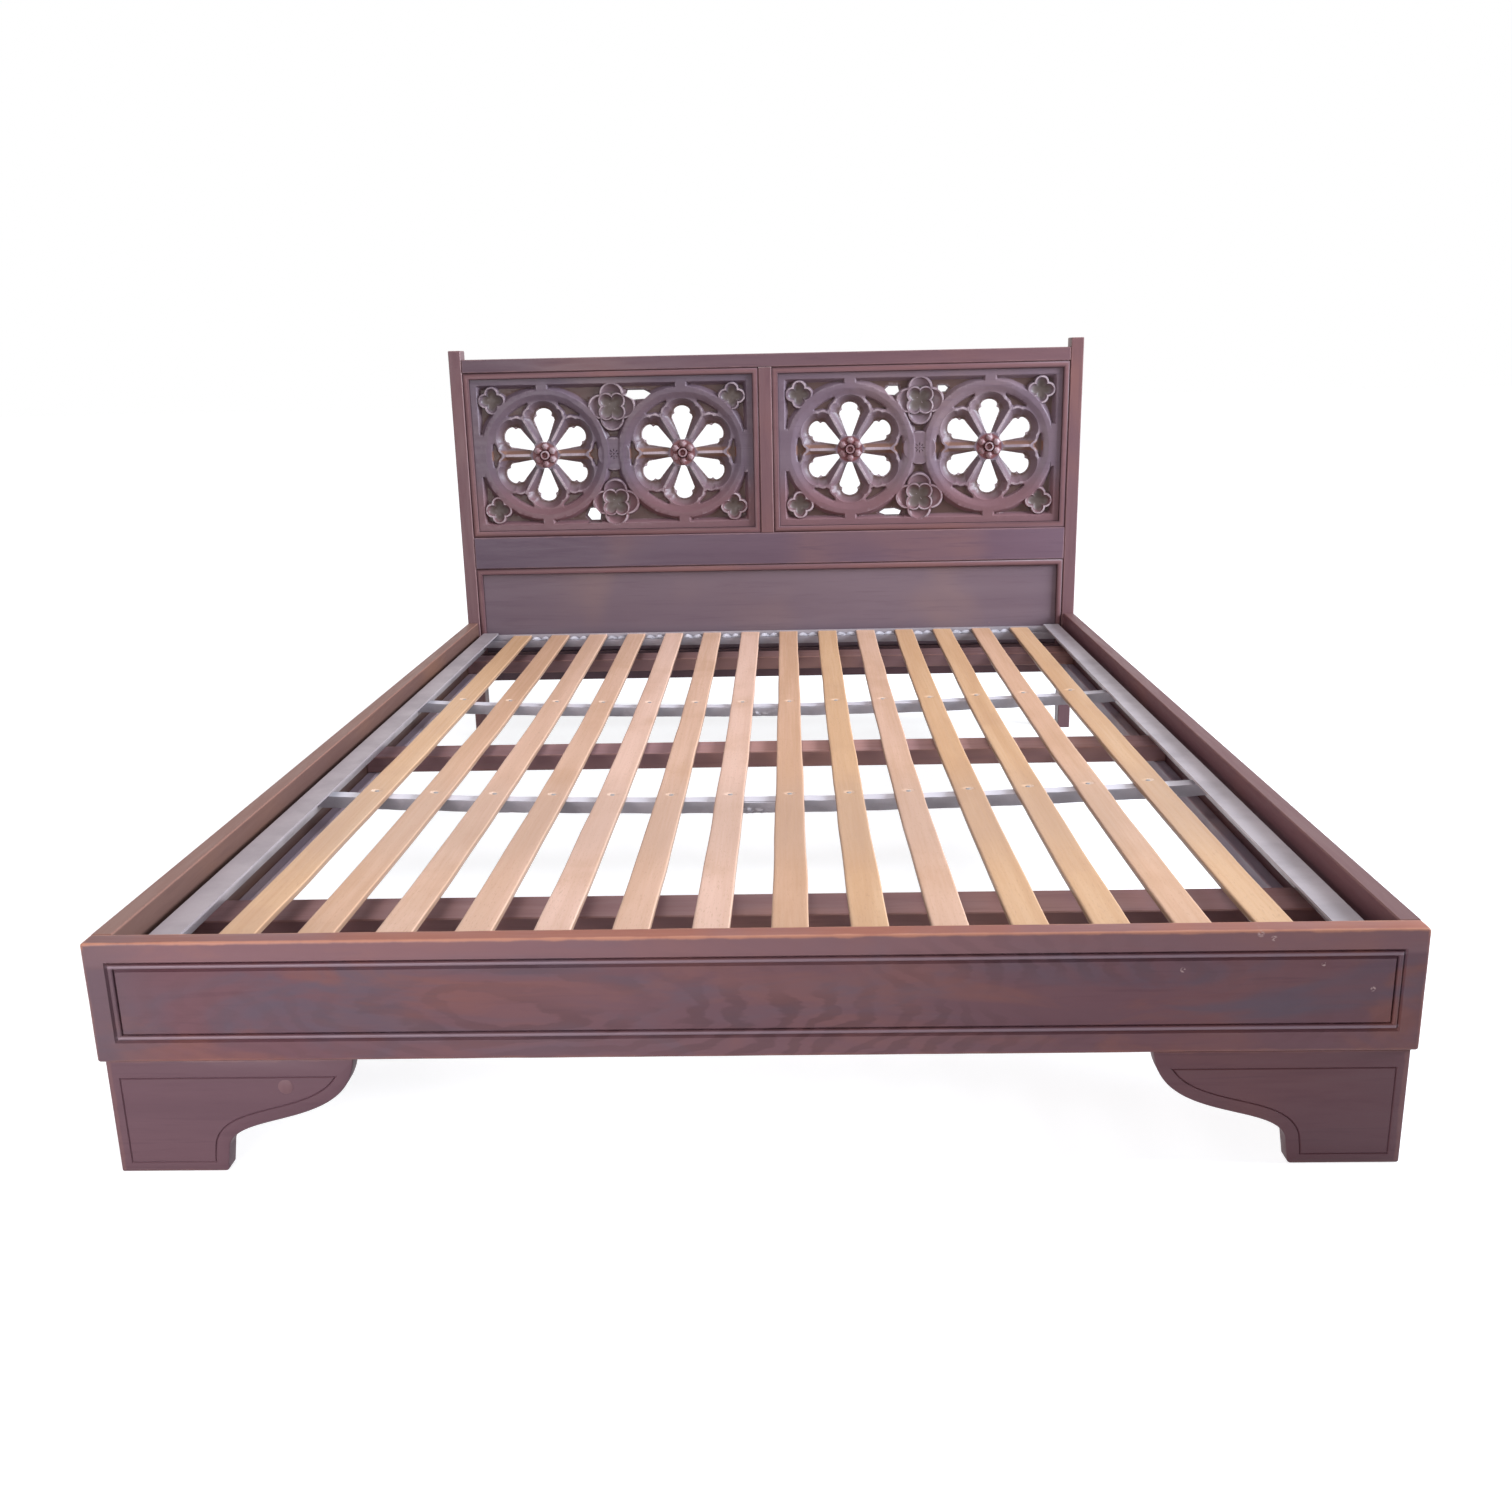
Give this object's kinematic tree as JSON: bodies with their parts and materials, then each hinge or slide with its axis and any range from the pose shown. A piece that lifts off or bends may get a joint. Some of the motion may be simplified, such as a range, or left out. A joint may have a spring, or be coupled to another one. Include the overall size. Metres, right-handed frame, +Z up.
{
  "type": "double bed",
  "caption": "Low double bed with a pierced Gothic tracery headboard, bracket feet and a loose slatted base in a steel frame.",
  "frame": {"origin": "on the floor, under the middle of the bed's bounding box", "axes": "+Z up, +Y from the foot to the headboard, +X to the right seen from the foot"},
  "size_m": [1.43, 1.975, 0.899],
  "materials": {
    "walnut": "waxed",
    "carved_walnut": "waxed",
    "panel_walnut": "satin",
    "inner_wood": "matte",
    "bolt_steel": "plain",
    "steel": "matte, worn",
    "beech": "satin"
  },
  "bodies": {
    "bed_frame": {"left_post": "walnut", "right_post": "walnut", "top_rail": "walnut", "middle_rail": "walnut", "bottom_rail": "walnut", "centre_muntin": "walnut", "left_panel_moulding": "walnut", "right_panel_moulding": "walnut", "lower_panel_moulding": "walnut", "left_side_rail": "walnut", "right_side_rail": "walnut", "foot_rail": "walnut", "left_front_bracket": "walnut", "right_front_bracket": "walnut", "left_side_bracket": "walnut", "right_side_bracket": "walnut", "left_tracery_panel": "carved_walnut", "right_tracery_panel": "carved_walnut", "lower_panel": "panel_walnut", "left_foot_block": "inner_wood", "right_foot_block": "inner_wood", "left_corner_block": "inner_wood", "right_corner_block": "inner_wood", "left_ledger": "inner_wood", "right_ledger": "inner_wood", "foot_bearer": "inner_wood", "middle_bearer": "inner_wood", "head_bearer": "inner_wood", "left_bed_bolt": "bolt_steel", "right_bed_bolt": "bolt_steel", "left_barrel_nut": "bolt_steel", "right_barrel_nut": "bolt_steel"},
    "slat_base": {"left_side_angle": "steel", "right_side_angle": "steel", "head_channel": "steel", "foot_channel": "steel", "rear_cross_bar": "steel", "front_cross_bar": "steel", "rear_splice_plate": "steel", "front_splice_plate": "steel", "slat_01": "beech", "slat_02": "beech", "slat_03": "beech", "slat_04": "beech", "slat_05": "beech", "slat_06": "beech", "slat_07": "beech", "slat_08": "beech", "slat_09": "beech", "slat_10": "beech", "slat_11": "beech", "slat_12": "beech", "slat_13": "beech", "slat_14": "beech"}
  },
  "joints": [
    {"name": "mattress_base_lift", "type": "slide", "parent": "bed_frame", "child": "slat_base", "axis": [0, 0, 1], "range_m": [0, 0.3]}
  ]
}
